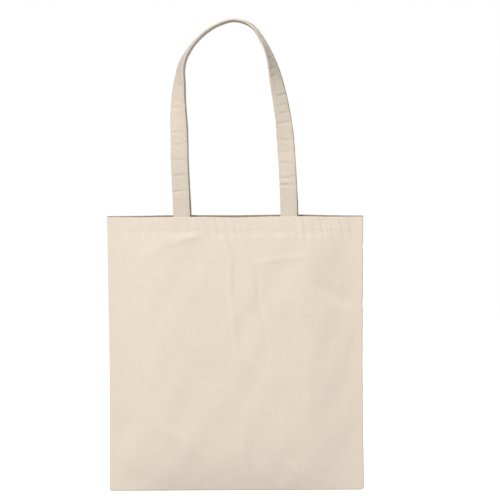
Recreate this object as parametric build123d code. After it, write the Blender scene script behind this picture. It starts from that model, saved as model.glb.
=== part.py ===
"""An unlined canvas tote bag with two long handles, hanging empty.

Frame: +Z up, +X to the right of someone facing the front panel, which faces -Y.
The origin is on the bottom edge, midway across the bag and midway between its panels.
Each cloth piece, thread row and seam is a closed solid of its own. Millimetres throughout.
"""

import math
import os

from build123d import *

os.makedirs("parts", exist_ok=True)

# Body of the bag
BAG_WIDTH = 380.0
BAG_HEIGHT = 410.0
BACK_RISE = 2.0  # the back panel hangs this much higher than the front one
CORNER_RADIUS = 5.0
CLOTH = 0.6
CENTRE_DEPTH = 10.0  # from the bag's middle plane to the middle of a panel's cloth
MOUTH_DEPTH = 9.6  # the same at the hem, which draws in so that its thread isn't proud
SIDE_DEPTH = 2.2  # the same at the side seams, where the panels come together
FLAT_HALF = 98.0  # half the width of the flat stretch between the panel's wings
# Height and share of the full depth, from the closed bottom edge upwards
BELLY = ((0.0, 0.0), (20.0, 0.45), (50.0, 0.8), (100.0, 1.0))
NECK = (32.0, 25.0)  # how far below the top edge the panel starts and stops drawing in

# Hem: the top of each panel turned inside twice, so two more layers
HEM_DEPTH = 22.0
HEM_LAYERS = 2 * CLOTH

# Handles: a strip folded to four layers and stitched along both edges
HANDLE_WIDTH = 25.0
HANDLE_THICKNESS = 2.0
HANDLE_SPACING = 159.0
HANDLE_RISE = 288.5  # from the front panel's top edge to the top of the centreline
HANDLE_TUCK = 19.5  # length of each end that is sewn inside the hem
APEX_DEPTH = 13.0  # where the handle lies on edge across the top of its arch
FOLD_GAP = 0.8  # between the top edge of the bag and the start of a handle
BACK_HANDLE_SHIFT = 2.0  # the back handle is sewn this much further to the right
# Share of the rise where the strap starts and ends its quarter turn
LEFT_TURN = (0.38, 1.0)
RIGHT_TURN = (0.45, 1.0)
STATION_PITCH = 13.0

# Thread and seams
THREAD = 0.5
THREAD_HEIGHT = 0.3
THREAD_GAP = 0.12  # between a handle's face and the thread along it
EDGE_STITCH = 2.2  # from a handle's edge to its thread row
HEM_STITCH = 1.3  # from the hem's lower edge to its thread row
TACK_INSET = 2.0
SEAM_WIDTH = 11.0
SEAM_LAYERS = 2 * CLOTH
OVERLOCK_WIDTH = 4.0
OVERLOCK_THREAD = 0.2
SEAM_STITCH_INSET = 2.5
HEM_GAP = 0.5  # between the hem and the side seams, which are turned in above it

HALF_WIDTH = BAG_WIDTH / 2
FRONT, BACK = -1, 1  # sign of y for each side of the bag

# Centreline of the front handle, as (x, height above the front panel's top edge)
ARCH = (
    (-HANDLE_SPACING / 2, 0.0),
    (-81.5, 60.0),
    (-82.8, 120.0),
    (-82.3, 195.0),
    (-76.5, 230.0),
    (-57.0, 259.0),
    (-28.0, 281.0),
    (3.5, HANDLE_RISE),
    (24.0, 281.0),
    (41.0, 259.0),
    (53.5, 230.0),
    (63.0, 190.0),
    (71.5, 143.0),
    (76.5, 85.0),
    (HANDLE_SPACING / 2, 0.0),
)


def wing_curve(depth, shift, side):
    """One wing of a panel's section: from the flat stretch out to the side seam."""
    lead = 0.5 * (HALF_WIDTH - FLAT_HALF)
    trail = 0.35 * (HALF_WIDTH - FLAT_HALF)
    return Bezier(
        (side * FLAT_HALF, depth + shift),
        (side * (FLAT_HALF + lead), depth + shift),
        (side * (HALF_WIDTH - trail), SIDE_DEPTH + shift),
        (side * HALF_WIDTH, SIDE_DEPTH + shift),
    )


def band_face(depth, inner, outer):
    """The flat region between a panel's section shifted by inner and by outer."""
    lines = [
        wing_curve(depth, outer, -1),
        Line((-FLAT_HALF, depth + outer), (FLAT_HALF, depth + outer)),
        wing_curve(depth, outer, 1),
        Line((HALF_WIDTH, SIDE_DEPTH + outer), (HALF_WIDTH, SIDE_DEPTH + inner)),
        wing_curve(depth, inner, 1),
        Line((FLAT_HALF, depth + inner), (-FLAT_HALF, depth + inner)),
        wing_curve(depth, inner, -1),
        Line((-HALF_WIDTH, SIDE_DEPTH + inner), (-HALF_WIDTH, SIDE_DEPTH + outer)),
    ]
    return make_face(Wire(lines))


def band(inner, outer, low, high):
    """A layer of the hem or a row of thread: it follows the panel's full section."""
    return extrude(Pos(0, 0, low) * band_face(MOUTH_DEPTH, inner, outer), high - low)


def rounded_outline(height):
    """A block that rounds the bag's two bottom corners."""
    block = Box(
        BAG_WIDTH, 8 * CENTRE_DEPTH, height, align=(Align.CENTER, Align.CENTER, Align.MIN)
    )
    lower = block.edges().filter_by(Axis.Y).group_by(Axis.Z)[0]
    return fillet(lower, CORNER_RADIUS)


def panel(height):
    """A panel's cloth, flat at its bottom edge, full above it and drawn in at the hem."""
    levels = [
        (level, SIDE_DEPTH + share * (CENTRE_DEPTH - SIDE_DEPTH)) for level, share in BELLY
    ]
    levels.append((height - NECK[0], CENTRE_DEPTH))
    levels.append((height - NECK[1], MOUTH_DEPTH))
    levels.append((height, MOUTH_DEPTH))
    sections = [
        Pos(0, 0, level) * band_face(depth, -CLOTH / 2, CLOTH / 2) for level, depth in levels
    ]
    return loft(sections, ruled=True) & rounded_outline(height)


def hem(height):
    inner = -CLOTH / 2 - HEM_LAYERS
    return band(inner, -CLOTH / 2, height - HEM_DEPTH, height)


def hem_stitching(height):
    """The needle thread outside the panel and the bobbin thread inside the hem."""
    low = height - HEM_DEPTH + HEM_STITCH - THREAD / 2
    outside = CLOTH / 2
    inside = -CLOTH / 2 - HEM_LAYERS
    needle = band(outside, outside + THREAD_HEIGHT, low, low + THREAD)
    bobbin = band(inside - THREAD_HEIGHT, inside, low, low + THREAD)
    return Compound([needle, bobbin])


HANDLE_FACE = MOUTH_DEPTH - CLOTH / 2 - HEM_LAYERS  # where a handle meets the hem
HANDLE_DEPTH = HANDLE_FACE - HANDLE_THICKNESS / 2


def handle_end(x, height):
    """The end of a handle that is sewn to the inside of the hem."""
    return Pos(x, HANDLE_DEPTH, height - HANDLE_TUCK / 2) * Box(
        HANDLE_WIDTH, HANDLE_THICKNESS, HANDLE_TUCK
    )


def tack_pattern(x, height, depth):
    """A box of thread with a cross in it, as thick as a thread, from depth outwards."""
    wide = HANDLE_WIDTH - 2 * TACK_INSET
    tall = HANDLE_TUCK - 2 * TACK_INSET
    frame = Rectangle(wide, tall) - Rectangle(wide - 2 * THREAD, tall - 2 * THREAD)
    lean = math.degrees(math.atan2(tall - THREAD, wide - THREAD))
    reach = math.hypot(wide, tall) - 4 * THREAD
    cross = [Rot(0, 0, turn) * Rectangle(reach, THREAD) for turn in (lean, -lean)]
    flat = (frame + cross[0] + cross[1]).face()
    upright = Pos(x, depth, height - HANDLE_TUCK / 2) * Rot(90, 0, 0) * flat
    return extrude(upright, THREAD_HEIGHT, dir=(0, 1, 0))


def tack_stitching(x, height):
    outside = MOUTH_DEPTH + CLOTH / 2
    inside = HANDLE_FACE - HANDLE_THICKNESS - THREAD_HEIGHT
    return Compound([tack_pattern(x, height, outside), tack_pattern(x, height, inside)])


def quarter_turn(x, share):
    """How far the strap has turned on edge, in radians, at this share of its rise."""
    start, end = LEFT_TURN if x < 0 else RIGHT_TURN
    along = min(1.0, max(0.0, (share - start) / (end - start)))
    return math.radians(90) * (1 - (1 - along) ** 2) * math.sqrt(along * (2 - along))


def stations(height, shift):
    """Places along a handle: (centre, direction of its width, direction of its face)."""
    points = [(x + shift, 0, height + max(rise, FOLD_GAP)) for x, rise in ARCH]
    line = Spline(*points, tangents=[(-0.03, 0, 1), (0.03, 0, -1)])
    count = round(line.length / STATION_PITCH)
    found = []
    for i in range(count + 1):
        along = i * line.length / count
        place = line.position_at(along, position_mode=PositionMode.LENGTH)
        run = line.tangent_at(along, position_mode=PositionMode.LENGTH)
        turn = quarter_turn(place.X, (place.Z - height) / HANDLE_RISE)
        outward = Vector(0, 1, 0)
        inward = Vector(run.Z, 0, -run.X)  # in the arch's plane, towards its inside
        depth = HANDLE_DEPTH + (APEX_DEPTH - HANDLE_DEPTH) * math.sin(turn)
        centre = Vector(place.X, depth, place.Z)
        width = inward * math.cos(turn) + outward * math.sin(turn)
        face = outward * math.cos(turn) - inward * math.sin(turn)
        found.append((centre, width, face))
    return found


def strap(places, edges, faces):
    """A strip along a handle, between two distances across it and two through it."""
    rings = []
    for centre, width, face in places:
        around = ((0, 0), (1, 0), (1, 1), (0, 1))
        corners = [centre + width * edges[i] + face * faces[j] for i, j in around]
        rings.append([Line(a, b) for a, b in zip(corners, corners[1:] + corners[:1])])
    skin = [
        Face.make_surface_from_curves(edge, following)
        for ring, after in zip(rings, rings[1:])
        for edge, following in zip(ring, after)
    ]
    ends = [Face(Wire(ring)) for ring in (rings[0], rings[-1])]
    return Solid(Shell(skin + ends))


def handle(places):
    half_width, half = HANDLE_WIDTH / 2, HANDLE_THICKNESS / 2
    return strap(places, (-half_width, half_width), (-half, half))


def handle_stitching(places):
    """A thread row along both edges, on both faces."""
    row = HANDLE_WIDTH / 2 - EDGE_STITCH
    low = HANDLE_THICKNESS / 2 + THREAD_GAP
    rows = []
    for edge in (-row, row):
        for side in (-1, 1):
            faces = sorted((side * low, side * (low + THREAD_HEIGHT)))
            rows.append(strap(places, (edge - THREAD / 2, edge + THREAD / 2), faces))
    return Compound(rows)


def seam_strip(length, width, half_thickness):
    """A strip with one edge on the seam line at x = 0 and the other inside the bag."""
    return Box(
        width, 2 * half_thickness, length, align=(Align.MAX, Align.CENTER, Align.MIN)
    )


def seam_allowance(length):
    return seam_strip(length, SEAM_WIDTH, SEAM_LAYERS / 2)


def seam_overlock(length):
    """The thread that wraps the raw edges of a seam."""
    half = SEAM_LAYERS / 2
    sleeve = Pos(OVERLOCK_WIDTH - SEAM_WIDTH, 0, 0) * seam_strip(
        length, OVERLOCK_WIDTH + OVERLOCK_THREAD, half + OVERLOCK_THREAD
    )
    return sleeve - seam_allowance(length)


def seam_stitching(length):
    """The row of thread that joins the panels, on both faces of the allowance."""
    row = Pos(-SEAM_STITCH_INSET, 0, 0) * seam_strip(
        length, THREAD, SEAM_LAYERS / 2 + OVERLOCK_THREAD
    )
    return row - seam_allowance(length)


SEAM_PARTS = {"seam": seam_allowance, "overlock": seam_overlock, "stitching": seam_stitching}
SEAM_NAMES = {
    "seam": "{}_seam",
    "overlock": "{}_seam_overlock",
    "stitching": "{}_seam_stitching",
}


def seams():
    """The three sewn edges inside the bag, each with its overlock and its stitching."""
    side_length = BAG_HEIGHT - HEM_DEPTH - HEM_GAP
    bottom_length = BAG_WIDTH - 2 * (SEAM_WIDTH + OVERLOCK_THREAD)
    outline = rounded_outline(BAG_HEIGHT)
    made = {}
    for part, make in SEAM_PARTS.items():
        upright = Pos(HALF_WIDTH, 0, 0) * make(side_length) & outline
        made[SEAM_NAMES[part].format("right_side")] = upright
        made[SEAM_NAMES[part].format("left_side")] = mirror(upright, about=Plane.YZ)
        lying = Pos(-bottom_length / 2, 0, 0) * Rot(0, 90, 0) * make(bottom_length)
        made[SEAM_NAMES[part].format("bottom")] = lying
    return made


def side_of_bag(name, side):
    """Everything that belongs to one panel and its handle."""
    height = BAG_HEIGHT + (BACK_RISE if side == BACK else 0)
    shift = BACK_HANDLE_SHIFT if side == BACK else 0
    places = stations(height, shift)
    made = {
        f"{name}_panel": panel(height),
        f"{name}_hem": hem(height),
        f"{name}_hem_stitching": hem_stitching(height),
        f"{name}_handle": handle(places),
        f"{name}_handle_stitching": handle_stitching(places),
    }
    for hand, way in (("left", -1), ("right", 1)):
        x = way * HANDLE_SPACING / 2 + shift
        made[f"{name}_{hand}_handle_end"] = handle_end(x, height)
        made[f"{name}_{hand}_tack_stitching"] = tack_stitching(x, height)
    if side == FRONT:
        made = {node: mirror(shape, about=Plane.XZ) for node, shape in made.items()}
    return made


def main():
    pieces = {**seams(), **side_of_bag("front", FRONT), **side_of_bag("back", BACK)}
    for node, shape in pieces.items():
        export_step(shape, f"parts/{node}.step")


main()
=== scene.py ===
"""The looks of a canvas tote bag around its CAD frame: cloth, straps, thread, stage and camera."""

import math

import bpy
import numpy as np
from bpy.props import FloatProperty, FloatVectorProperty, PointerProperty
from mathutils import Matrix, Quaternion, Vector


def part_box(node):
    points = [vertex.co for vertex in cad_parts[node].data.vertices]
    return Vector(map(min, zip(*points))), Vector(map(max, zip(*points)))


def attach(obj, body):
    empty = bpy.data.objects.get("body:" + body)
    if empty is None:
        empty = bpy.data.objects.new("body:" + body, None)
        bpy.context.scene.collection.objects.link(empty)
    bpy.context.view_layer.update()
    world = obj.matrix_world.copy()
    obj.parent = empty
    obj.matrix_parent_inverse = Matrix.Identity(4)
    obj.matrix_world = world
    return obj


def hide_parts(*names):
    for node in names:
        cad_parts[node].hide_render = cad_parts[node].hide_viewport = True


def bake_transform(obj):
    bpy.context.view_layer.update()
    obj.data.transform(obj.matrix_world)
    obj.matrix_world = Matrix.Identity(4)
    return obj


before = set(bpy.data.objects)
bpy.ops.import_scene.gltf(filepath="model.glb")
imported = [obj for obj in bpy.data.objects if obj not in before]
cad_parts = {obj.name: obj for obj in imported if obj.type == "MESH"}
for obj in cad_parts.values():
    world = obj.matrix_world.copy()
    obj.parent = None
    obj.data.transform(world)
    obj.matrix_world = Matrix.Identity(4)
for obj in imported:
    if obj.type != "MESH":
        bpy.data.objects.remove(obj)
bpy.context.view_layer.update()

bl_info = {
    "name": "Canvas Tote Bag",
    "version": (1, 0, 0),
    "blender": (4, 5, 0),
    "location": "View3D > Sidebar > Tote",
    "description": "Builds a sewn canvas tote bag around its CAD frame",
    "category": "Add Mesh",
}

MM = 0.001
FRONT, BACK = -1, 1
NAMES = {FRONT: "front", BACK: "back"}

# Read from the frame
PANEL_LOW, PANEL_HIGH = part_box("back_panel")
HALF_WIDTH = PANEL_HIGH.x
DEEPEST = PANEL_HIGH.y
HEIGHTS = {side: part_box(f"{name}_panel")[1].z for side, name in NAMES.items()}
HEM_DEPTH = HEIGHTS[FRONT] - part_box("front_hem")[0].z
STITCH_DROP = HEIGHTS[FRONT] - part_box("front_hem_stitching")[1].z
SEAM_LOW, SEAM_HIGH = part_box("left_side_seam")
SEAM_WIDTH = SEAM_HIGH.x - SEAM_LOW.x
END_LOW, END_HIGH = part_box("front_left_handle_end")
TUCK = HEIGHTS[FRONT] - END_LOW.z
HANDLE_WIDTH = END_HIGH.x - END_LOW.x
HANDLE_DEPTH = sum(corner.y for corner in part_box("back_left_handle_end")) / 2
HANDLE_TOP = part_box("front_handle")[1].z
SHIFTS = {
    side: sum(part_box(f"{name}_{hand}_handle_end")[end].x
              for hand in ("left", "right") for end in (0, 1)) / 4
    for side, name in NAMES.items()
}
HANDLE_SPACING = 2 * (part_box("front_right_handle_end")[0].x + HANDLE_WIDTH / 2)


# ---- sizes and colours


def metres(name, description, value):
    return FloatProperty(
        name=name, description=description, default=value, unit="LENGTH", precision=5)


def angle(name, description, degrees):
    return FloatProperty(name=name, description=description, default=math.radians(degrees),
                         subtype="ANGLE", unit="ROTATION")


def paint(name, description, colour):
    return FloatVectorProperty(
        name=name, description=description, default=colour, subtype="COLOR", size=3, min=0, max=1)


class ClothSettings(bpy.types.PropertyGroup):
    thickness: metres("Thickness", "Thickness of one layer of canvas", 0.62 * MM)
    column: metres("Column", "Width of one column of the cloth's mesh", 2.2 * MM)
    yarn: metres("Yarn pitch", "From one yarn of the weave to the next", 0.62 * MM)
    crease: FloatProperty(
        name="Crease", description="Strength of the soft creases, 1 as worn once",
        default=1.0, min=0, max=3)
    pucker: metres("Pucker", "How far the hem ripples at its stitching", 1.3 * MM)
    colour: paint("Canvas", "Unbleached canvas, before its variation", (0.712, 0.628, 0.527))
    fleck: paint("Fleck", "Bits of cotton seed in the yarn", (0.42, 0.32, 0.21))


class StrapSettings(bpy.types.PropertyGroup):
    thickness: metres("Thickness", "Four layers of canvas, pressed and sewn", 1.9 * MM)
    pitch: metres("Pitch", "Between two sections of the strap's mesh", 1.2 * MM)
    edge: metres("Edge row", "From the strap's edge to its row of stitches", 2.2 * MM)
    wrinkle: metres("Wrinkle", "Height of the wrinkles across the strap", 0.75 * MM)


class ThreadSettings(bpy.types.PropertyGroup):
    diameter: metres("Diameter", "Sewing thread", 0.42 * MM)
    stitch: metres("Stitch", "Length of one stitch", 2.9 * MM)
    gap: metres("Gap", "Between two stitches, where the thread dives", 0.35 * MM)
    wrap: metres("Wrap", "Between two turns of overlock thread", 2.3 * MM)
    colour: paint("Thread", "Natural cotton thread", (0.66, 0.58, 0.48))


class StageSettings(bpy.types.PropertyGroup):
    distance: metres("Distance", "From the camera to the bag", 2.479)
    rise: angle("Rise", "How far the camera looks down", 1.9)
    roll: angle("Roll", "How far the bag hangs out of true, seen by the camera", 0.3)
    lens: FloatProperty(
        name="Lens", description="Focal length", default=120.0)
    floor: metres("Floor", "Width of the floor", 9.0)
    backdrop: metres("Backdrop", "Radius of the white backdrop", 6.6)
    surround: FloatProperty(
        name="Surround", description="Strength of the even light from all round", default=0.30)


def settings():
    return bpy.context.scene.tote_cloth, bpy.context.scene.tote_strap, bpy.context.scene.tote_thread


# ---- shader maths


class Socket:
    """A node's output in an expression: its operators add Math nodes."""

    def __init__(self, maker, socket):
        self.maker = maker
        self.socket = socket

    def _math(self, operation, *values):
        return self.maker.node("Math", {"operation": operation}, dict(enumerate(values)))

    def __add__(self, other):
        return self._math("ADD", self, other)

    __radd__ = __add__

    def __sub__(self, other):
        return self._math("SUBTRACT", self, other)

    def __rsub__(self, other):
        return self._math("SUBTRACT", other, self)

    def __mul__(self, other):
        return self._math("MULTIPLY", self, other)

    def sine(self):
        return self._math("SINE", self)

    def absolute(self):
        return self._math("ABSOLUTE", self)

    def clamp(self):
        return self.maker.node("Clamp", {}, {"Value": self, "Min": 0.0, "Max": 1.0})


class Maker:
    """Makes the nodes of one material."""

    def __init__(self, name):
        self.material = bpy.data.materials.new(name)
        self.material.use_nodes = True
        self.tree = self.material.node_tree
        self.tree.nodes.clear()

    def node(self, kind, choices, values, output=0):
        """A node of this type, with its settings first and then its sockets' values or links."""
        made = self.tree.nodes.new(f"ShaderNode{kind}")
        for name, choice in choices.items():
            setattr(made, name, choice)
        for name, value in values.items():
            if isinstance(value, Socket):
                self.tree.links.new(value.socket, made.inputs[name])
            else:
                made.inputs[name].default_value = value
        return Socket(self, made.outputs[output])

    def place(self):
        """The point's place on the cloth, in metres: across it, along it, and 1 on its inner face,
        where painted shade goes.
        """
        return self.node("Attribute", {"attribute_name": "cloth"}, {}, output=1)

    def solid(self):
        """The point's place in the piece's own space, in metres."""
        return self.node("TexCoord", {}, {}, output=3)

    def part(self, vector, axis):
        return self.node("SeparateXYZ", {}, {0: vector}, output=axis)

    def mix(self, share, first, second):
        """Two colours mixed."""
        first, second = (c if isinstance(c, Socket) else (*c, 1.0) for c in (first, second))
        return self.node("Mix", {"data_type": "RGBA"}, {0: share, 6: first, 7: second}, output=2)

    def scaled(self, vector, factors):
        return self.node("VectorMath", {"operation": "MULTIPLY"}, {0: vector, 1: factors})

    def noise(self, vector, scale, detail=2.0, roughness=0.5):
        values = {"Vector": vector, "Scale": scale, "Detail": detail, "Roughness": roughness}
        return self.node("TexNoise", {}, values)

    def band(self, value, low, high):
        """0 below low, 1 above high, smooth between."""
        values = {"Value": value, "From Min": low, "From Max": high}
        return self.node("MapRange", {"interpolation_type": "SMOOTHSTEP"}, values)

    def bump(self, strength, distance, height, **more):
        values = {"Strength": strength, "Distance": distance, "Height": height}
        return self.node("Bump", {}, {**values, **more})

    def finish(self, base, rough, normal, specular, more):
        """The material, with a principled shader on it."""
        values = {"Base Color": base, "Roughness": rough.clamp(), "Normal": normal,
                  "Specular IOR Level": specular, **more}
        return self.output(self.node("BsdfPrincipled", {}, values))

    def output(self, shader):
        out = self.tree.nodes.new("ShaderNodeOutputMaterial")
        self.tree.links.new(shader.socket, out.inputs["Surface"])
        return self.material


# Shares of the canvas's colour: its dullest and lightest yarns, and the painted shade of its inner
# face, darker where shade falls inside the bag
DULL = (0.90, 0.87, 0.83)
LIGHT = (1.10, 1.11, 1.13)
INSIDE_PAINTED_SHADE = (0.40, 0.37, 0.34)
# The weft's yarns are a little thicker than the warp's
WEFT_SHARE = 0.93


def times(colour, factors):
    return tuple(min(1.0, c * f) for c, f in zip(colour, factors))


def canvas_material(name, depth=1.0):
    """Unbleached plain-weave canvas: yarns, slubs, seed flecks and creases, with painted shade on its
    inner face. depth scales its colour.
    """
    cloth, _, _ = settings()
    maker = Maker(name)
    place, solid = maker.place(), maker.solid()

    # The yarns: each one crosses over and under its neighbours
    turns = math.pi / cloth.yarn
    drift = (maker.noise(maker.scaled(place, (40, 40, 0)), 1.0) - 0.5) * 1.6
    warp = (maker.part(place, 0) * turns + drift).sine()
    weft = (maker.part(place, 1) * (turns * WEFT_SHARE) + drift).sine()
    over = warp * weft
    yarns = warp.absolute() * 0.5 + weft.absolute() * 0.5 + over * 0.22
    # Slubs are thicker stretches of single yarns, long one way and narrow the other
    slub_warp = maker.noise(maker.scaled(place, (1 / cloth.yarn, 60, 0)), 1.0, 1.0)
    slub_weft = maker.noise(maker.scaled(place, (55, 1 / cloth.yarn, 0)), 1.0, 1.0)
    slubs = slub_warp + slub_weft - 1.0
    crumple = maker.noise(solid, 85.0, 4.0, 0.6) - 0.5
    mottle = maker.noise(solid, 14.0, 3.0, 0.55) - 0.5
    fine = maker.noise(maker.scaled(place, (900, 900, 0)), 1.0, 2.0) - 0.5

    # Seed flecks are short, dark and thinly spread
    spread = maker.scaled(place, (150, 70, 0))
    cells = maker.node("TexVoronoi", {}, {"Vector": spread, "Scale": 1.0, "Randomness": 1.0})
    rarity = maker.band(maker.noise(maker.scaled(place, (37, 41, 0)), 1.0, 0.0), 0.56, 0.62)
    flecks = (1 - maker.band(cells, 0.05, 0.11)) * rarity

    tone = (slubs * 0.20 + mottle * 0.22 + crumple * 0.10 + fine * 0.10 + yarns * 0.10 + 0.42).clamp()
    colour = tuple(c * depth for c in cloth.colour)
    base = maker.mix(tone, times(colour, DULL), times(colour, LIGHT))
    base = maker.mix(flecks * 0.32, base, tuple(cloth.fleck))
    # Painted shade: the cloth's inner face is darkened, standing in for the shade inside the bag
    shade = maker.band(maker.part(place, 2), 0.0, 1.0)
    base = maker.mix(shade, base, times(colour, INSIDE_PAINTED_SHADE))

    weave = maker.bump(0.30, 0.0002, yarns * 0.55 + slubs * 0.6 + fine * 0.35)
    soft = maker.bump(0.35, 0.002, crumple * 0.8 + mottle * 0.5, Normal=weave)
    rough = 0.86 + fine * 0.10 + slubs * 0.06
    return maker.finish(base, rough, soft, 0.18, {"Sheen Weight": 0.18, "Sheen Roughness": 0.6})


def thread_material(name):
    """Twisted cotton thread, a little darker than the canvas."""
    _, _, thread = settings()
    maker = Maker(name)
    place, solid = maker.place(), maker.solid()
    # One turn of the twist is one and a half diameters long
    along = maker.part(place, 1) * (2 * math.pi / (thread.diameter * 1.5))
    twist = (along + maker.part(place, 0) * 6.283).sine()
    fuzz = maker.noise(solid, 2600.0, 2.0) - 0.5
    patch = maker.noise(solid, 60.0, 2.0) - 0.5
    tone = (0.5 + twist * 0.18 + fuzz * 0.5 + patch * 0.4).clamp()
    base = maker.mix(tone, times(thread.colour, (0.80,) * 3), times(thread.colour, (1.14,) * 3))
    bump = maker.bump(0.5, 0.00008, twist * 0.6 + fuzz * 0.6)
    return maker.finish(base, 0.72 + fuzz * 0.3, bump, 0.3, {"Sheen Weight": 0.12})


def floor_material(name):
    """Pale seamless board, very slightly uneven."""
    maker = Maker(name)
    solid = maker.solid()
    cloud = maker.noise(solid, 2.0, 3.0)
    grain = maker.noise(solid, 400.0, 2.0) - 0.5
    base = maker.mix(cloud, (0.50, 0.50, 0.50), (0.54, 0.54, 0.54))
    glow = {"Emission Color": (1, 1, 1, 1), "Emission Strength": 0.80}
    return maker.finish(base, 0.85 + grain * 0.1, maker.bump(0.1, 0.0002, grain), 0.1, glow)


def backdrop_material(name):
    """White paper, lit evenly."""
    maker = Maker(name)
    return maker.output(maker.node("Emission", {}, {"Color": (1, 1, 1, 1), "Strength": 1.0}))


# ---- meshes


def smooth(t):
    """From 0 to 1 as t goes from 0 to 1, level at both ends."""
    t = np.clip(t, 0.0, 1.0)
    return t * t * (3 - 2 * t)


def bell(x, half):
    """1 where x is 0, falling off within half of it."""
    return np.exp(-(x / half) ** 2)


def beside(values, count):
    """The values down a grid's rows, the same in each of its columns."""
    return np.repeat(values[:, None], count, axis=1)


def unit(vectors):
    return vectors / np.maximum(np.linalg.norm(vectors, axis=-1, keepdims=True), 1e-12)


def mesh_piece(name, points, faces, cloth, material, smooth_faces=True):
    """A mesh object with a cloth attribute: place across and along the cloth, and how far inside, which
    sets how much painted shade it takes.
    """
    mesh = bpy.data.meshes.new(name)
    mesh.from_pydata(points.reshape(-1, 3).tolist(), [], faces)
    mesh.update()
    attribute = mesh.attributes.new("cloth", "FLOAT_VECTOR", "POINT")
    attribute.data.foreach_set("vector", cloth.reshape(-1, 3).astype(np.float32).ravel())
    mesh.polygons.foreach_set("use_smooth", [smooth_faces] * len(mesh.polygons))
    mesh.materials.append(material)
    piece = bpy.data.objects.new(name, mesh)
    bpy.context.scene.collection.objects.link(piece)
    return piece


def grid_faces(rows, columns, first=0, flip=False):
    """Quads between neighbouring points of a grid of rows by columns."""
    index = first + np.arange(rows * columns).reshape(rows, columns)
    quads = np.stack([index[:-1, :-1], index[:-1, 1:], index[1:, 1:], index[1:, :-1]], axis=-1)
    quads = quads.reshape(-1, 4)
    return (quads[:, ::-1] if flip else quads).tolist()


def grid_normals(points):
    """Normals of a grid of points, from its rows' and columns' directions."""
    across = np.gradient(points, axis=1)
    along = np.gradient(points, axis=0)
    return unit(np.cross(across, along))


def tube_faces(rows, sides):
    """Quads round the skin of a tube, and the faces of its two ends."""
    index = np.arange(rows * sides).reshape(rows, sides)
    after = np.roll(index, -1, axis=1)
    quads = np.stack([index[:-1], after[:-1], after[1:], index[1:]], axis=-1).reshape(-1, 4)
    return quads.tolist() + [index[0][::-1].tolist(), index[-1].tolist()]


def thick_sheet(points, cloth, thickness):
    """Points, faces and cloth places of a closed sheet with its middle surface on a grid."""
    rows, columns = points.shape[:2]
    normals = grid_normals(points)
    outer = points + normals * thickness / 2
    inner = points - normals * thickness / 2
    count = rows * columns
    faces = grid_faces(rows, columns) + grid_faces(rows, columns, count, flip=True)
    index = np.arange(count).reshape(rows, columns)
    rim = np.concatenate([index[0, :], index[1:, -1], index[-1, -2::-1], index[-2:0:-1, 0]])
    for a, b in zip(rim, np.roll(rim, -1)):
        faces.append([int(b), int(a), int(a) + count, int(b) + count])
    skin = np.concatenate([outer.reshape(-1, 3), inner.reshape(-1, 3)])
    return skin, faces, np.concatenate([cloth.reshape(-1, 3)] * 2)


def tube(points, radius, sides):
    """A round tube along a line of points, as points and faces."""
    count = len(points)
    ahead = unit(np.gradient(points, axis=0))
    hint = np.array([0.0, 0.0, 1.0]) if abs(ahead[0][2]) < 0.9 else np.array([1.0, 0.0, 0.0])
    across = unit(np.cross(ahead, hint))
    for i in range(1, count):
        carried = across[i - 1] - ahead[i] * np.dot(across[i - 1], ahead[i])
        across[i] = carried / max(np.linalg.norm(carried), 1e-12)
    up = np.cross(ahead, across)
    angles = np.linspace(0, 2 * math.pi, sides, endpoint=False)
    ring = np.cos(angles)[None, :, None] * across[:, None] + np.sin(angles)[None, :, None] * up[:, None]
    skin = points[:, None] + ring * radius
    return skin.reshape(-1, 3), tube_faces(count, sides)


# One stitch from end to end: share of its length, of its thickness and of its height
STITCH_SHARES = np.array([0.0, 0.12, 0.32, 0.5, 0.68, 0.88, 1.0])
STITCH_SWELLS = np.array([0.35, 0.85, 1.0, 1.0, 1.0, 0.85, 0.35])
STITCH_HEIGHTS = np.array([0.0, 0.62, 0.95, 1.0, 0.95, 0.62, 0.0])
# A stitch is pressed a little flat
STITCH_FLATNESS = 0.8
STITCH_SIDES = 6


def stitch_row(place, length, low, high):
    """Separate stitches along a seam, lifted off it by high and, at their ends, by low.

    place(s) gives the seam's points and outward normals at distances along it.
    """
    _, _, thread = settings()
    pitch = thread.stitch + thread.gap
    count = max(1, int(length / pitch))
    start = (length - count * pitch) / 2
    steps = len(STITCH_SHARES)
    firsts = start + np.arange(count)[:, None] * pitch + thread.gap / 2
    s = firsts + STITCH_SHARES[None, :] * thread.stitch
    points, normals = place(s.ravel())
    lift = low + (high - low) * np.tile(STITCH_HEIGHTS, count)
    points = (points + normals * lift[:, None]).reshape(count, steps, 3)
    normals = normals.reshape(count, steps, 3)
    ahead = unit(np.gradient(points, axis=1))
    across = unit(np.cross(ahead, normals))
    up = np.cross(across, ahead)
    angles = np.linspace(0, 2 * math.pi, STITCH_SIDES, endpoint=False)
    radius = STITCH_SWELLS[None, :, None, None] * thread.diameter / 2
    ring = (np.cos(angles)[None, None, :, None] * across[:, :, None]
            + np.sin(angles)[None, None, :, None] * up[:, :, None] * STITCH_FLATNESS)
    skin = points[:, :, None] + ring * radius
    one = tube_faces(steps, STITCH_SIDES)
    size = steps * STITCH_SIDES
    faces = [[v + first for v in face] for first in range(0, count * size, size) for face in one]
    along = np.repeat(s[:, :, None], STITCH_SIDES, axis=2)
    around = np.broadcast_to(angles[None, None, :] / (2 * math.pi), along.shape)
    cloth = np.stack([around, along, 0 * along], axis=-1)
    return skin.reshape(-1, 3), faces, cloth.reshape(-1, 3)


def joined(parts):
    """Several (points, faces, cloth) as one."""
    points, faces, cloth, count = [], [], [], 0
    for some_points, some_faces, some_cloth in parts:
        faces += [[v + count for v in face] for face in some_faces]
        count += len(some_points)
        points.append(some_points)
        cloth.append(some_cloth)
    return np.concatenate(points), faces, np.concatenate(cloth)


def stitched_piece(name, rows, material, node):
    """Rows of stitches as one piece, in place of a node of the frame."""
    piece = mesh_piece(name, *joined(rows), material)
    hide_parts(node)
    return piece


# ---- the cloth's shape

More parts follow.
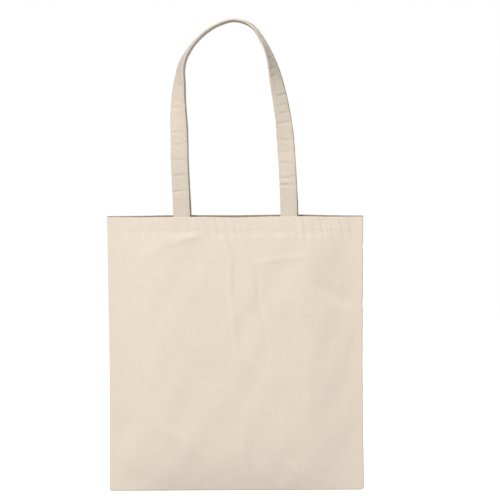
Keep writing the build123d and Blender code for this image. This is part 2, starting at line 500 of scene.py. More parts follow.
# Soft creases of each panel: height, half width and the line's points (x, z), all in millimetres
CREASES = {
    FRONT: (
        (1.1, 3.6, ((-25, 399), (-14, 372), (-8, 350), (-8, 307), (1, 217), (4, 187))),
        (-1.0, 4.5, ((16, 380), (28, 352), (31, 330), (35, 289), (46, 217), (49, 199))),
        (0.8, 5, ((13, 94), (11, 67), (14, 43), (22, 25))),
        (0.8, 5, ((74, 46), (84, 34), (97, 22))),
        (1.0, 9, ((-110, 97), (-80, 73), (-59, 40))),
        (0.6, 7, ((-152, 328), (-134, 352), (-98, 372), (-50, 384))),
        (0.4, 3.2, ((-95, 369), (-72, 377), (-50, 383))),
        (0.35, 3.2, ((-84, 382), (-62, 385), (-42, 389))),
        (0.6, 4, ((24, 336), (45, 343), (68, 347), (110, 352))),
        (-1.2, 9, ((111, 316), (147, 292), (180, 277))),
        (-0.8, 12, ((-120, 300), (-104, 240), (-98, 170), (-112, 110))),
        (0.8, 12, ((120, 230), (108, 170), (112, 110), (128, 60))),
    ),
    BACK: (
        (1.0, 8, ((20, 395), (12, 350), (16, 290), (6, 210))),
        (-1.1, 7, ((-38, 376), (-46, 330), (-42, 270), (-52, 200))),
        (1.2, 9, ((150, 330), (120, 358), (70, 378))),
        (1.2, 10, ((-150, 352), (-110, 362), (-60, 380))),
        (0.9, 8, ((60, 120), (70, 80), (64, 30))),
        (-0.9, 10, ((-120, 210), (-112, 150), (-130, 80))),
    ),
}
# Where the hem ripples most: centre and half width, in millimetres, and strength
RIPPLED = ((-38, 26, 0.8), (135, 45, 1.0), (-140, 40, 0.35), (20, 30, 0.35))
# Strength of the hem's ripples everywhere else
RIPPLED_ALL = 0.25
# Heights of the large swells and of the small rumples, and how deep the hem's stitches press
SWELL = 0.55 * MM
RUMPLE = 0.28 * MM
STITCH_DENT = 0.22 * MM
# The cloth is stiff at its edges and round a strap's sewn end, where it loses this share of its ripple
STIFF_EDGE = 26 * MM
HELD_HALF, HELD_FADE = 22 * MM, 9 * MM
HELD_BELOW, HELD_FADE_BELOW = 10 * MM, 8 * MM
HELD = 0.9
# The outer edges turn in to the seam, and are this deep there and just inside it
EDGE_ROUNDING = 1.7 * MM
EDGE_DEPTH = 0.31 * MM
SIDE_DEPTH = 1.65 * MM
CORNER_RADIUS = 5 * MM
# The panels are fullest between the bottom and the neck below the mouth
FULL_DEPTH = DEEPEST - 0.3 * MM
MOUTH_DEPTH = DEEPEST - 0.7 * MM
FULL_HEIGHT = 100 * MM
BOTTOM_POWER = 2.6
NECK_LOW = 32 * MM
NECK_BLEND = 7 * MM
FLAT_HALF = 98 * MM
# The sides pull in between their corners, unevenly, and the right one twice more, at these heights
# and depths in millimetres
PULL_IN = 1.3 * MM
UNEVEN = 0.35 * MM
NOTCHES = ((366, 1.0), (280, 1.2))
NOTCH_HALF = 5 * MM
# How far the mouth's line hangs below its straight height. The back's corners stand over the front's
CORNER_DROOP = 1.2 * MM
RIGHT_CORNER_DROOP = 0.9 * MM
BACK_CORNER_STAND = 1.6 * MM
MIDDLE_SAGS = {FRONT: 1.2 * MM, BACK: 0.5 * MM}
MOUTH_SAGS = {FRONT: 1.1 * MM, BACK: 0.7 * MM}


def waves(x, seed, shortest, longest, count=7):
    """An uneven ripple along x between -1 and 1, the same each time for a seed."""
    rng = np.random.default_rng(seed)
    lengths = shortest * (longest / shortest) ** rng.random(count)
    phases = rng.random(count) * 2 * math.pi
    weights = 0.5 + rng.random(count)
    total = sum(w * np.sin(2 * math.pi * x / length + phase)
                for w, length, phase in zip(weights, lengths, phases))
    return total / np.sqrt(np.sum(weights ** 2) * 2)


def line_distance(x, z, points):
    """Distance to a line of points, and how far along it the nearest place is, from 0 to 1."""
    points = np.array(points, float) * MM
    runs = np.linalg.norm(np.diff(points, axis=0), axis=1)
    starts = np.concatenate([[0.0], np.cumsum(runs)])
    nearest = np.full(np.shape(x), np.inf)
    along = np.zeros(np.shape(x))
    for a, b, run, start in zip(points, points[1:], runs, starts):
        ahead = (b - a) / run
        reach = np.clip((x - a[0]) * ahead[0] + (z - a[1]) * ahead[1], 0, run)
        away = np.hypot(x - a[0] - ahead[0] * reach, z - a[1] - ahead[1] * reach)
        closer = away < nearest
        nearest = np.where(closer, away, nearest)
        along = np.where(closer, (start + reach) / starts[-1], along)
    return nearest, along


def hem_strength(x):
    """How strongly the hem ripples at x."""
    total = RIPPLED_ALL + 0 * x
    for centre, half, strength in RIPPLED:
        total = total + strength * bell(x - centre * MM, half * MM)
    return total


def ripple(side, x, z):
    """How far a panel stands outwards of its plain shape."""
    cloth, _, _ = settings()
    height = HEIGHTS[side]
    total = np.zeros(np.shape(x))
    for lift, half, points in CREASES[side]:
        away, along = line_distance(x, z, points)
        fade = np.sin(math.pi * np.clip(along, 0.03, 0.97)) ** 0.6
        total += lift * MM * fade * bell(away, half * MM) * cloth.crease
    seed = 10 if side == FRONT else 20
    swell = (waves(x + 0.4 * z, seed, 0.09, 0.22) * waves(z - 0.3 * x, seed + 1, 0.10, 0.26)
             + 0.5 * waves(x - 0.7 * z, seed + 2, 0.06, 0.14))
    total += SWELL * swell * cloth.crease
    rumple = waves(x + 0.25 * z, seed + 3, 0.016, 0.045) * waves(z + 0.2 * x, seed + 4, 0.03, 0.08)
    total += RUMPLE * rumple * cloth.crease
    # The hem's stitches draw the cloth up, so that it ripples at them
    below = height - STITCH_DROP - z
    near = bell(below, 11 * MM) + 0.4 * smooth(1 - (height - z) / HEM_DEPTH)
    pucker = waves(x + 0.25 * z, seed + 5, 0.0065, 0.017, 11) * cloth.pucker * hem_strength(side * -x)
    total += near * pucker
    total -= STITCH_DENT * bell(below, 1.3 * MM)
    # Sewn layers are stiff where the straps are, and the edges stay together
    inward = np.minimum(HALF_WIDTH - np.abs(x), z)
    total *= smooth(inward / STIFF_EDGE)
    for way in (-1, 1):
        strap_x = way * HANDLE_SPACING / 2 + SHIFTS[side]
        held = smooth((HELD_HALF - np.abs(x - strap_x)) / HELD_FADE)
        held = held * smooth((z - height + TUCK + HELD_BELOW) / HELD_FADE_BELOW)
        total *= 1 - HELD * held
    return total


def surface(side, x, z):
    """The middle of a panel's cloth at a place on the flat cloth, x across and z up."""
    height = HEIGHTS[side]
    # The bottom corners are rounded off
    over = np.maximum(0, np.abs(x) - (HALF_WIDTH - CORNER_RADIUS)) / CORNER_RADIUS
    under = np.maximum(0, CORNER_RADIUS - z) / CORNER_RADIUS
    cut_x, cut_z = (a * (1 - np.sqrt(1 - np.clip(b, 0, 1) ** 2 / 2)) * CORNER_RADIUS
                    for a, b in ((over, under), (under, over)))

    across = 1 - smooth((np.abs(x) - FLAT_HALF) / (HALF_WIDTH - FLAT_HALF))
    rise = 1 - np.clip(1 - z / FULL_HEIGHT, 0, 1) ** BOTTOM_POWER
    neck = smooth((z - height + NECK_LOW) / NECK_BLEND)
    full = FULL_DEPTH - (FULL_DEPTH - MOUTH_DEPTH) * neck
    depth = SIDE_DEPTH + (full - SIDE_DEPTH) * across * rise + ripple(side, x, z)
    inward = np.minimum(HALF_WIDTH - np.abs(x), z)
    turned = np.clip(1 - inward / EDGE_ROUNDING, 0, 1)
    depth = EDGE_DEPTH + (depth - EDGE_DEPTH) * np.sqrt(np.clip(1 - turned ** 2, 0, 1))

    share = np.abs(x) / HALF_WIDTH
    level = np.clip(z / HEIGHTS[FRONT], 0, 1)
    pulled = PULL_IN * np.sin(math.pi * level) ** 0.8
    pulled = pulled + UNEVEN * waves(z, 31, 0.03, 0.09) * np.sin(math.pi * level)
    for notch, size in NOTCHES:
        pulled = pulled + (x > 0) * size * MM * bell(z - notch * MM, NOTCH_HALF)
    new_x = np.sign(x) * (np.abs(x) - cut_x - pulled * share ** 6)
    # The mouth's line droops at its corners, sags in the middle and hangs a little between them
    droop = CORNER_DROOP + (height - HEIGHTS[FRONT] - BACK_CORNER_STAND if side == BACK else 0)
    droop = droop + RIGHT_CORNER_DROOP * (x > 0)
    drop = droop * smooth((np.abs(x) - 92 * MM) / (98 * MM))
    drop = drop + MIDDLE_SAGS[side] * bell(x, 36 * MM)
    drop = drop + MOUTH_SAGS[side] * (1 - smooth((np.abs(x) - 120 * MM) / (70 * MM)))
    new_z = z + cut_z - drop * np.clip(z / height, 0, 1) ** 2
    return np.stack([new_x, side * depth, new_z], axis=-1)


def surface_normal(side, x, z, step=0.4 * MM):
    """Outward from the bag."""
    across = surface(side, x + step, z) - surface(side, x - step, z)
    along = surface(side, x, z + step) - surface(side, x, z - step)
    return unit(np.cross(across, along)) * -side


def spaced(low, high, pitch):
    """Evenly spaced values from low to high, about a pitch apart."""
    return np.linspace(low, high, max(2, int(round((high - low) / pitch)) + 1))


def panel_columns():
    """Places across a panel, closer together at its rounded edges."""
    cloth, _, _ = settings()
    middle = spaced(-HALF_WIDTH + 2 * EDGE_ROUNDING, HALF_WIDTH - 2 * EDGE_ROUNDING, cloth.column)
    edge = HALF_WIDTH - 2 * EDGE_ROUNDING * (1 - np.sin(np.linspace(0, math.pi / 2, 8)))
    return np.concatenate([-edge[:0:-1], middle, edge[1:]])


# The hem: its fold over the mouth, the fold at its lower edge, and how much is tucked under there
FOLD_RADIUS = 0.6 * MM
TIGHT_FOLD_RADIUS = 0.3 * MM
TUCKED_UNDER = 7 * MM


def panel_rows(side):
    """The cloth's way up the panel, over the mouth and twice round the hem: heights and lifts."""
    cloth, _, _ = settings()
    half, turn, tight = cloth.thickness / 2, FOLD_RADIUS, TIGHT_FOLD_RADIUS
    height = HEIGHTS[side]
    foot = 2 * EDGE_ROUNDING * (1 - np.cos(np.linspace(0, math.pi / 2, 8)))
    hem_low = height - HEM_DEPTH
    body = spaced(foot[-1], hem_low - 12 * MM, 2.9 * MM)[1:]
    upper = spaced(body[-1], height - half - turn, 1.25 * MM)[1:]
    over = np.linspace(0, math.pi, 9)[1:]
    inside = spaced(height - half - turn, hem_low + half + tight, 1.6 * MM)[1:]
    tucked = spaced(inside[-1], inside[-1] + TUCKED_UNDER, 2.4 * MM)[1:]
    stretches = (
        (foot, 0), (body, 0), (upper, 0),
        (height - half - turn + turn * np.sin(over), -turn + turn * np.cos(over)),
        (inside, -2 * turn),
        (inside[-1] - tight * np.sin(over), -2 * turn + tight - tight * np.cos(over)),
        (tucked, -2 * turn + 2 * tight),
    )
    heights, lifts = zip(*(np.broadcast_arrays(levels, lift) for levels, lift in stretches))
    return np.concatenate(heights), np.concatenate(lifts)


def bend_with_panel(piece):
    """The piece's transform is baked into its mesh."""
    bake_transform(piece)
    # A share that runs in from both sides of the bag alike; nothing uses it
    places = np.zeros(len(piece.data.vertices) * 3, np.float32)
    piece.data.vertices.foreach_get("co", places)
    share = smooth((HALF_WIDTH - np.abs(places[::3])) / (HALF_WIDTH - FLAT_HALF))


# ---- the straps

# Middle of the front strap as it hangs, from its sewn end: x and height over the mouth, in millimetres
ARCH = (
    (-81.5, 60), (-82.8, 120), (-82.3, 195), (-76.5, 230), (-57, 259), (-28, 281),
    (3.5, 288.5), (24, 281), (41, 259), (53.5, 230), (63, 190), (71.5, 143), (76.5, 85),
)
# How far each leg has turned on edge: share of the rise, and degrees
LEFT_TURN = ((0.38, 0), (0.52, 23), (0.59, 35), (0.645, 47), (0.695, 57), (0.745, 66), (0.795, 74),
             (0.85, 80), (0.93, 84), (1.0, 86))
RIGHT_TURN = ((0.32, 0), (0.44, 16), (0.52, 26), (0.59, 31), (0.645, 36), (0.695, 43), (0.745, 53),
              (0.795, 65), (0.85, 72), (0.93, 80), (1.0, 86))
# How many points of the centreline the turn is smoothed over, each way
TURN_SMOOTHING = 14
# Depth of the strap's middle where it is on edge
APEX_DEPTH = 13 * MM
# How far the back strap's free part hangs to the left of where it is sewn
LEG_SHIFT = 0.9 * MM
# Wrinkles of the front strap: height over the mouth in millimetres, and depth
LEFT_WRINKLES = ((193, 0.6), (160, 1.0), (123, 0.9), (106, 0.6), (83, 0.5), (60, 0.8), (37, 0.9))
RIGHT_WRINKLES = (
    (233, 0.7), (218, 1.0), (207, 0.8), (177, 1.2), (163, 0.6), (151, 0.8), (137, 0.8),
    (111, 0.7), (94, 0.5), (77, 0.9), (56, 0.7), (45, 1.5),
)
# Points across each face of a strap
FACE_POINTS = 23
# A folded strap bends from just below the mouth to a little above it
BEND_BELOW = 1 * MM
BEND_ABOVE = 15 * MM


class Strap:
    """One handle's centreline, the directions of its width and face, and its wrinkles."""

    def __init__(self, side):
        _, strap, _ = settings()
        self.side = side
        self.half = strap.thickness / 2
        self.height = HEIGHTS[side]
        base = HANDLE_SPACING * 500
        flat = [(-base, -TUCK * 1000), (-base, -TUCK * 500), (-base, 0), *ARCH,
                (base, 0), (base, -TUCK * 500), (base, -TUCK * 1000)]
        knots = np.array([(x * MM + SHIFTS[side], z * MM) for x, z in flat])
        line = self._through(knots)
        if side == BACK:
            line[:, 0] -= LEG_SHIFT * smooth(line[:, 1] / (60 * MM))
        runs = np.linalg.norm(np.diff(line, axis=0), axis=1)
        self.steps = np.concatenate([[0], np.cumsum(runs)])
        self.length = self.steps[-1]
        ahead = unit(np.gradient(line, axis=0))
        share = line[:, 1] / (HANDLE_TOP - HEIGHTS[FRONT])
        top = np.argmax(share)
        turn = np.concatenate([
            np.interp(share[:top], *zip(*LEFT_TURN)), np.interp(share[top:], *zip(*RIGHT_TURN))])
        window = np.hanning(2 * TURN_SMOOTHING + 1)
        padded = np.pad(turn, TURN_SMOOTHING, mode="edge")
        turn = np.radians(np.convolve(padded, window / window.sum(), mode="valid"))
        depth = HANDLE_DEPTH + (APEX_DEPTH - HANDLE_DEPTH) * np.sin(turn)
        self.centre = np.stack([line[:, 0], side * depth, line[:, 1] + self.height], axis=1)
        inward = np.stack([ahead[:, 1], 0 * turn, -ahead[:, 0]], axis=1)
        outward = np.array([[0.0, side, 0.0]])
        cos, sin = np.cos(turn)[:, None], np.sin(turn)[:, None]
        self.width = inward * cos + outward * sin
        self.face = outward * cos - inward * sin
        self._follow_panel()
        self._place_wrinkles(line)

    @staticmethod
    def _through(knots, steps=24):
        """A smooth line through the knots."""
        before = np.vstack([2 * knots[0] - knots[1], knots[:-1]])
        after = np.vstack([knots[1:], 2 * knots[-1] - knots[-2]])
        back = np.linalg.norm(knots - before, axis=1)[:, None]
        forth = np.linalg.norm(after - knots, axis=1)[:, None]
        slope = ((knots - before) / back * forth + (after - knots) / forth * back) / (back + forth)
        t = np.linspace(0, 1, steps, endpoint=False)[:, None]
        parts = []
        for i in range(len(knots) - 1):
            run = np.linalg.norm(knots[i + 1] - knots[i])
            parts.append(
                (2 * t ** 3 - 3 * t ** 2 + 1) * knots[i] + (t ** 3 - 2 * t ** 2 + t) * slope[i] * run
                + (-2 * t ** 3 + 3 * t ** 2) * knots[i + 1] + (t ** 3 - t ** 2) * slope[i + 1] * run)
        return np.vstack(parts + [knots[-1:]])

    def _follow_panel(self):
        """The sewn ends lie against the hem, wherever its cloth is."""
        x, z = self.centre[:, 0], self.centre[:, 2]
        top = np.minimum(z, self.height)
        lies = surface(self.side, x, top)
        share = 1 - smooth((z - self.height) / (30 * MM))
        self.centre[:, 1] += (lies[:, 1] - self.side * MOUTH_DEPTH) * share
        self.centre[:, 2] += (lies[:, 2] - top) * share

    def _place_wrinkles(self, line):
        """Each wrinkle's place along the strap, depth, slant, middle and half width."""
        rng = np.random.default_rng(5 if self.side == FRONT else 6)
        top = np.argmax(line[:, 1])
        self.wrinkles = []
        for marks, part in ((LEFT_WRINKLES, slice(0, top)), (RIGHT_WRINKLES, slice(top, None))):
            heights, steps = line[part, 1], self.steps[part]
            order = np.argsort(heights)
            for level, deep in marks:
                if self.side == BACK:
                    level, deep = level + rng.uniform(-14, 14), deep * rng.uniform(0.5, 1.1)
                at = np.interp(level * MM, heights[order], steps[order])
                slant, middle = rng.uniform(-0.16, 0.16), rng.uniform(-6, 6) * MM
                self.wrinkles.append((at, deep, slant, middle, rng.uniform(6, 15) * MM))

    def at(self, values, s):
        """Values given along the centreline, at a distance along it."""
        return np.stack([np.interp(s, self.steps, values[:, k]) for k in range(3)], axis=-1)

    def swell(self, s, across):
        """How far the strap bends out of its plain ribbon."""
        _, strap, _ = settings()
        # Long swells and short rumples first, then the wrinkles
        total = 0.16 * MM * waves(s, 41 + self.side, 0.02, 0.07) + 0 * across
        total = total + 0.10 * MM * waves(s + 0.5 * across, 43 + self.side, 0.006, 0.012)
        for at, deep, slant, middle, reach in self.wrinkles:
            u = s - at - slant * across
            sign = 1 if at < self.length / 2 else -1
            shape = -bell(u, 2.0 * MM) + 0.5 * bell(u - sign * 4 * MM, 2.8 * MM)
            total = total + strap.wrinkle * deep * shape * bell(across - middle, reach)
        free = smooth((self.at(self.centre, s)[..., 2] - self.height - 3 * MM) / (14 * MM))
        return total * free

    def point(self, s, across, through):
        """A point of the strap: along it, across it, and through its thickness in metres."""
        centre, width, face = (self.at(v, s) for v in (self.centre, self.width, self.face))
        face, width = unit(face), unit(width)
        wobble = 0.25 * MM * waves(s, 47 + self.side, 0.03, 0.09)
        return (centre + width * (across + wobble)[..., None]
                + face * (through + self.swell(s, across))[..., None])

    def section(self):
        """Points round the strap's section, across it and through it."""
        _, strap, _ = settings()
        half_width = HANDLE_WIDTH / 2
        row = half_width - strap.edge
        flat = np.linspace(-half_width + self.half, half_width - self.half, FACE_POINTS)
        near = np.abs(np.abs(flat) - row)
        top = self.half * (1 - 0.30 * bell(near, 0.8 * MM))
        top = top + 0.12 * MM * (1 - (flat / half_width) ** 2)
        angles = np.radians([60, 30, 0, -30, -60])
        cap_across = half_width - self.half + self.half * np.cos(angles)
        cap_through = self.half * np.sin(angles)
        across = np.concatenate([flat, cap_across, flat[::-1], -cap_across])
        through = np.concatenate([top, cap_through, -top[::-1], -cap_through])
        return across, through


def bend_with_handle(piece, side):
    """The piece's transform is baked into its mesh."""
    depth, top = side * HANDLE_DEPTH, HEIGHTS[side]
    top - BEND_BELOW
    top + BEND_ABOVE
    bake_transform(piece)


# ---- operators


class TOTE_OT_panels(bpy.types.Operator):
    """Sew the front and back panels, each with its twice-turned hem"""

    bl_idname = "tote.panels"
    bl_label = "Panels"

    def execute(self, context):
        cloth, _, _ = settings()
        material = canvas_material("natural_canvas")
        for side, name in NAMES.items():
            columns = panel_columns() * -side
            heights, lifts = panel_rows(side)
            x, z = np.meshgrid(columns, heights)
            lift = beside(lifts, len(columns))
            points = surface(side, x, z) + surface_normal(side, x, z) * lift[..., None]
            # How much painted shade a point takes: all of it on the hem's turned-in layers
            inside = smooth(-lift / (0.9 * MM))
            travelled = np.concatenate([[0], np.cumsum(np.hypot(np.diff(heights), np.diff(lifts)))])
            along = beside(travelled, len(columns))
            places = np.stack([x, along, inside], axis=-1)
            skin, faces, where = thick_sheet(points, places, cloth.thickness)
            # The hem's turned-in layers take the painted shade of the bag's inside, and so does the
            # inner face of the rest
            half = len(where) // 2
            where[half:, 2] = np.maximum(where[half:, 2], lift.ravel() > -FOLD_RADIUS / 2)
            piece = mesh_piece(f"{name}_panel_cloth", skin, faces, where, material)
            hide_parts(f"{name}_panel", f"{name}_hem")
            bend_with_panel(piece)
        return {"FINISHED"}


class TOTE_OT_straps(bpy.types.Operator):
    """Fold and sew the two handles"""

    bl_idname = "tote.straps"
    bl_label = "Straps"

    def execute(self, context):
        _, strap, _ = settings()
        material = canvas_material("strap_canvas", depth=0.85)
        for side, name in NAMES.items():
            handle = Strap(side)
            across, through = handle.section()
            s = spaced(0, handle.length, strap.pitch)
            along = beside(s, len(across))
            points = handle.point(
                along, np.broadcast_to(across, along.shape), np.broadcast_to(through, along.shape))
            faces = tube_faces(len(s), len(across))
            if side == FRONT:
                faces = [face[::-1] for face in faces]
            # The weave of the strap's inner face goes on from its outer face, a little further across
            woven = np.broadcast_to(across + (through < 0) * 30 * MM, along.shape)
            places = np.stack([woven, along, 0 * along], axis=-1)
            piece = mesh_piece(f"{name}_strap", points, faces, places, material)
            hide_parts(f"{name}_handle", f"{name}_left_handle_end", f"{name}_right_handle_end")
            bend_with_handle(piece, side)
        return {"FINISHED"}


class TOTE_OT_strap_stitching(bpy.types.Operator):
    """Stitch both edges of each handle"""

    bl_idname = "tote.strap_stitching"
    bl_label = "Strap stitching"

    def execute(self, context):
        _, strap, _ = settings()
        material = thread_material("strap_thread")
        for side, name in NAMES.items():
            handle = Strap(side)
            row = HANDLE_WIDTH / 2 - strap.edge
            rows = []
            for across in (-row, row):
                for way in (-1, 1):
                    def place(s, across=across, way=way):
                        # Each row lies in the shallow groove that its stitches press
                        level = handle.half * 0.72 + 0.04 * MM
                        points = handle.point(s, np.full(len(s), across), np.full(len(s), way * level))
                        return points, unit(handle.at(handle.face, s)) * way
                    rows.append(stitch_row(place, handle.length, low=-0.2 * MM, high=0.14 * MM))
            node = f"{name}_handle_stitching"
            piece = stitched_piece(f"{name}_strap_stitches", rows, material, node)
            bend_with_handle(piece, side)
        return {"FINISHED"}


class TOTE_OT_hem_stitching(bpy.types.Operator):
    """Stitch the hem of each panel, with needle thread outside and bobbin thread inside"""

    bl_idname = "tote.hem_stitching"
    bl_label = "Hem stitching"

    def execute(self, context):
        cloth, _, _ = settings()
        material = thread_material("hem_thread")
        for side, name in NAMES.items():
            level = HEIGHTS[side] - STITCH_DROP
            length = 2 * (HALF_WIDTH - 3 * MM)
            rows = []
            for lift, way in ((cloth.thickness / 2, 1), (-2 * FOLD_RADIUS - cloth.thickness / 2, -1)):
                def place(s, lift=lift, way=way):
                    x = s - length / 2
                    z = np.full(len(s), level)
                    normal = surface_normal(side, x, z)
                    return surface(side, x, z) + normal * lift, normal * way
                rows.append(stitch_row(place, length, low=-0.22 * MM, high=0.12 * MM))
            piece = stitched_piece(f"{name}_hem_stitches", rows, material, f"{name}_hem_stitching")
            bend_with_panel(piece)
        return {"FINISHED"}


# The tack's box lies inside the strap's edges, and its inner side is through hem and strap
TACK_INSET = 2.2 * MM
TACK_DEPTH = 3.45 * MM


class TOTE_OT_tacks(bpy.types.Operator):
    """Sew each strap end to the hem with a crossed box of stitches"""

    bl_idname = "tote.tacks"
    bl_label = "Strap tacks"

    def execute(self, context):
        cloth, _, _ = settings()
        material = thread_material("tack_thread")
        wide, tall = HANDLE_WIDTH / 2 - TACK_INSET, TUCK / 2 - TACK_INSET
        corners = [(-wide, -tall), (wide, -tall), (wide, tall), (-wide, tall)]
        runs = list(zip(corners, corners[1:] + corners[:1]))
        runs += [(corners[0], corners[2]), (corners[1], corners[3])]
        for side, face in NAMES.items():
            for hand, way in (("left", -1), ("right", 1)):
                name = f"{face}_{hand}_tack"
                x0 = way * HANDLE_SPACING / 2 + SHIFTS[side]
                z0 = HEIGHTS[side] - TUCK / 2
                rows = []
                for lift, outward in ((cloth.thickness / 2, 1), (-TACK_DEPTH, -1)):
                    for a, b in runs:
                        length = math.hypot(b[0] - a[0], b[1] - a[1])

                        def place(s, lift=lift, outward=outward, a=a, b=b, run=length):
                            x = x0 + a[0] + (b[0] - a[0]) * s / run
                            z = z0 + a[1] + (b[1] - a[1]) * s / run
                            normal = surface_normal(side, x, z)
                            return surface(side, x, z) + normal * lift, normal * outward
                        rows.append(stitch_row(place, length, low=-0.2 * MM, high=0.12 * MM))
                piece = stitched_piece(f"{name}_stitches", rows, material, f"{name}_stitching")
                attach(piece, f"{face}_side")
        return {"FINISHED"}


# Clearance between the ends of the bottom seam and the side seams
SEAM_GAP = 0.3 * MM
# One turn of overlock thread: share of the turn, reach in from the raw edge and place across it in mm
OVERLOCK_TURN = ((0.0, -0.15, 0.0), (0.15, 3.6, 0.72), (0.5, -0.15, 0.0), (0.65, 3.6, -0.72))
OVERLOCK_SIDES = 5


def seam_line(which, s, inset):
    """A place in the plane of a seam allowance: along its seam and in from its edge."""
    if which == "bottom_seam":
        x = s - HALF_WIDTH + SEAM_WIDTH + SEAM_GAP
        return np.stack([x, 0 * x, inset + 0 * x], axis=-1)
    way = -1 if which == "left_side_seam" else 1
    z = s + EDGE_ROUNDING
    edge = surface(FRONT, np.full(np.shape(z), way * HALF_WIDTH), np.maximum(z, CORNER_RADIUS))
    return np.stack([edge[..., 0] - way * inset, 0 * z, z], axis=-1)


def seam_length(which):
    if which == "bottom_seam":
        return 2 * (HALF_WIDTH - SEAM_WIDTH - SEAM_GAP)
    return SEAM_HIGH.z - EDGE_ROUNDING


class TOTE_OT_seams(bpy.types.Operator):
    """Sew the side and bottom seams: allowances, stitches and overlock"""

    bl_idname = "tote.seams"
    bl_label = "Seams"

    def execute(self, context):
        cloth, _, thread = settings()
        canvas = canvas_material("seam_canvas")
        sewing = thread_material("seam_thread")
        for which in ("left_side_seam", "right_side_seam", "bottom_seam"):
            length = seam_length(which)
            self.allowance(which, length, cloth, canvas)
            self.stitches(which, length, cloth, sewing)
            self.overlock(which, length, thread, sewing)
        return {"FINISHED"}

    def allowance(self, which, length, cloth, material):
        widths = spaced(0.4 * MM, SEAM_WIDTH - SEAM_GAP, 1.6 * MM)
        s, inset = np.meshgrid(spaced(0, length, 3 * MM), widths)
        layers = []
        for way in (-1, 1):
            wave = 0.12 * MM * waves(s, 61, 0.012, 0.04) * inset / SEAM_WIDTH
            points = seam_line(which, s, inset)
            points[..., 1] = way * cloth.thickness / 2 + wave
            # The allowances are inside the bag and take most of its painted shade
            places = np.stack([inset + way * 0.02, s, 0.75 + 0 * s], axis=-1)
            layers.append(thick_sheet(points, places, cloth.thickness * 0.96))
        piece = mesh_piece(f"{which}_allowance", *joined(layers), material)
        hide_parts(which)
        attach(piece, "seams")

    def stitches(self, which, length, cloth, material):
        rows = []
        for way in (-1, 1):
            def place(s, way=way):
                points = seam_line(which, s, 2.5 * MM)
                points[..., 1] = way * cloth.thickness
                return points, np.tile([0.0, way, 0.0], (len(s), 1))
            rows.append(stitch_row(place, length, low=-0.15 * MM, high=0.08 * MM))
        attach(stitched_piece(f"{which}_stitches", rows, material, f"{which}_stitching"), "seams")

    def overlock(self, which, length, thread, material):
        """One thread wound round the raw edges, to and fro between them and the needle line."""
        count = int(length / thread.wrap)
        turns = [(turn + share, *rest) for turn in range(count) for share, *rest in OVERLOCK_TURN]
        turn, reach, away = np.array(turns).T
        s = turn * thread.wrap
        points = seam_line(which, s, SEAM_WIDTH - reach * MM)
        points[..., 1] = away * MM
        skin, faces = tube(points, thread.diameter * 0.42, OVERLOCK_SIDES)
        along = beside(s, OVERLOCK_SIDES)
        around = np.broadcast_to(np.arange(OVERLOCK_SIDES)[None, :] / OVERLOCK_SIDES, along.shape)
        # The thread runs mostly across the seam, so its twist repeats more often along it
        places = np.stack([around, along * 3, 0 * along], axis=-1)
        piece = mesh_piece(f"{which}_overlock_thread", skin, faces, places, material)
        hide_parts(f"{which}_overlock")
        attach(piece, "seams")


# The soft lights: name, place and target in metres, size in metres, power in watts and spread
AIM = (0, 0, 0.38)
LIGHTS = (
    ("key_light", (-1.9, -3.3, 3.0), AIM, (1.7, 1.7), 218, math.pi),
    ("fill_light", (1.9, -2.4, 0.9), AIM, (1.4, 1.4), 20, math.pi),
    ("reflector", (0.12, -0.45, 0.02), (0, 0, 0.67), (0.3, 0.1), 0.045, math.radians(24)),
    ("back_light", (0.6, 2.2, 1.8), AIM, (1.6, 1.6), 60, math.pi),
)
# What the camera looks at
CAMERA_AIM = (21.7 * MM, 0, 359 * MM)


def lamp(name, place, target, size, power, spread):
    light = bpy.data.lights.new(name, "AREA")
    light.shape = "RECTANGLE"
    light.size, light.size_y = size
    light.energy = power
    light.spread = spread
    made = bpy.data.objects.new(name, light)
    bpy.context.scene.collection.objects.link(made)
    made.visible_camera = False
    made.location = place
    made.rotation_euler = (Vector(target) - Vector(place)).to_track_quat("-Z", "Y").to_euler()


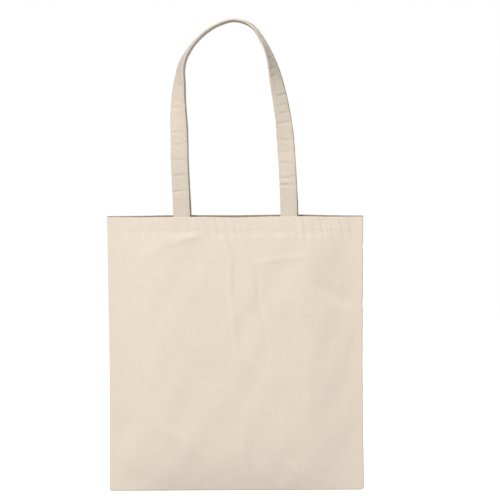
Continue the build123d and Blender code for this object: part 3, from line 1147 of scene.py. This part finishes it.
class TOTE_OT_stage(bpy.types.Operator):
    """Set the floor, the white surround, the soft lights and the camera"""

    bl_idname = "tote.stage"
    bl_label = "Stage"

    def execute(self, context):
        stage = context.scene.tote_stage
        half = stage.floor / 2
        corners = np.array([[-half, -half, 0], [half, -half, 0], [half, half, 0], [-half, half, 0]])
        board = floor_material("pale_board")
        floor = mesh_piece("floor", corners, [[0, 1, 2, 3]], corners, board, False)

        rows, columns = 25, 49
        turn, lean = np.meshgrid(
            np.linspace(0, 2 * math.pi, columns), np.linspace(-math.pi / 2, math.pi / 2, rows))
        dome = stage.backdrop * np.stack(
            [np.cos(turn) * np.cos(lean), np.sin(turn) * np.cos(lean), np.sin(lean)], axis=-1)
        paper = backdrop_material("white_paper")
        backdrop = mesh_piece("backdrop", dome, grid_faces(rows, columns), dome, paper, False)
        # The floor and the backdrop are only the white that the camera sees: they don't light the bag
        for piece in (floor, backdrop):
            piece.visible_diffuse = piece.visible_glossy = False
        backdrop.visible_shadow = backdrop.visible_transmission = False

        world = bpy.data.worlds.new("studio")
        context.scene.world = world
        world.use_nodes = True
        background = world.node_tree.nodes["Background"].inputs
        background["Color"].default_value = (1, 1, 1, 1)
        background["Strength"].default_value = stage.surround
        for light in LIGHTS:
            lamp(*light)

        camera = bpy.data.cameras.new("camera")
        camera.lens = stage.lens
        camera.sensor_width = 36
        camera.clip_end = 50
        made = bpy.data.objects.new("camera", camera)
        context.scene.collection.objects.link(made)
        away = Vector((0, -math.cos(stage.rise), math.sin(stage.rise)))
        made.location = Vector(CAMERA_AIM) + away * stage.distance
        upright = (-away).to_track_quat("-Z", "Y")
        made.rotation_euler = (upright @ Quaternion((0, 0, 1), -stage.roll)).to_euler()
        context.scene.camera = made
        context.scene.view_settings.view_transform = "Standard"
        return {"FINISHED"}


class TOTE_PT_panel(bpy.types.Panel):
    """Everything that makes the bag"""

    bl_idname = "TOTE_PT_panel"
    bl_label = "Tote bag"
    bl_space_type = "VIEW_3D"
    bl_region_type = "UI"
    bl_category = "Tote"

    def draw(self, context):
        for group in SETTINGS:
            for name in SETTINGS[group].__annotations__:
                self.layout.prop(getattr(context.scene, group), name)
        for operator in OPERATORS:
            self.layout.operator(operator.bl_idname)


SETTINGS = {
    "tote_cloth": ClothSettings,
    "tote_strap": StrapSettings,
    "tote_thread": ThreadSettings,
    "tote_stage": StageSettings,
}
OPERATORS = (
    TOTE_OT_stage,
    TOTE_OT_straps,
    TOTE_OT_strap_stitching,
    TOTE_OT_panels,
    TOTE_OT_hem_stitching,
    TOTE_OT_tacks,
    TOTE_OT_seams,
)


def register():
    for group in (*SETTINGS.values(), *OPERATORS, TOTE_PT_panel):
        bpy.utils.register_class(group)
    for name, group in SETTINGS.items():
        setattr(bpy.types.Scene, name, PointerProperty(type=group))


def unregister():
    for name in SETTINGS:
        delattr(bpy.types.Scene, name)
    for group in (TOTE_PT_panel, *OPERATORS[::-1], *SETTINGS.values()):
        bpy.utils.unregister_class(group)


def main():
    register()
    for operator in OPERATORS:
        section, name = operator.bl_idname.split(".")
        getattr(getattr(bpy.ops, section), name)()


if __name__ == "__main__":
    main()
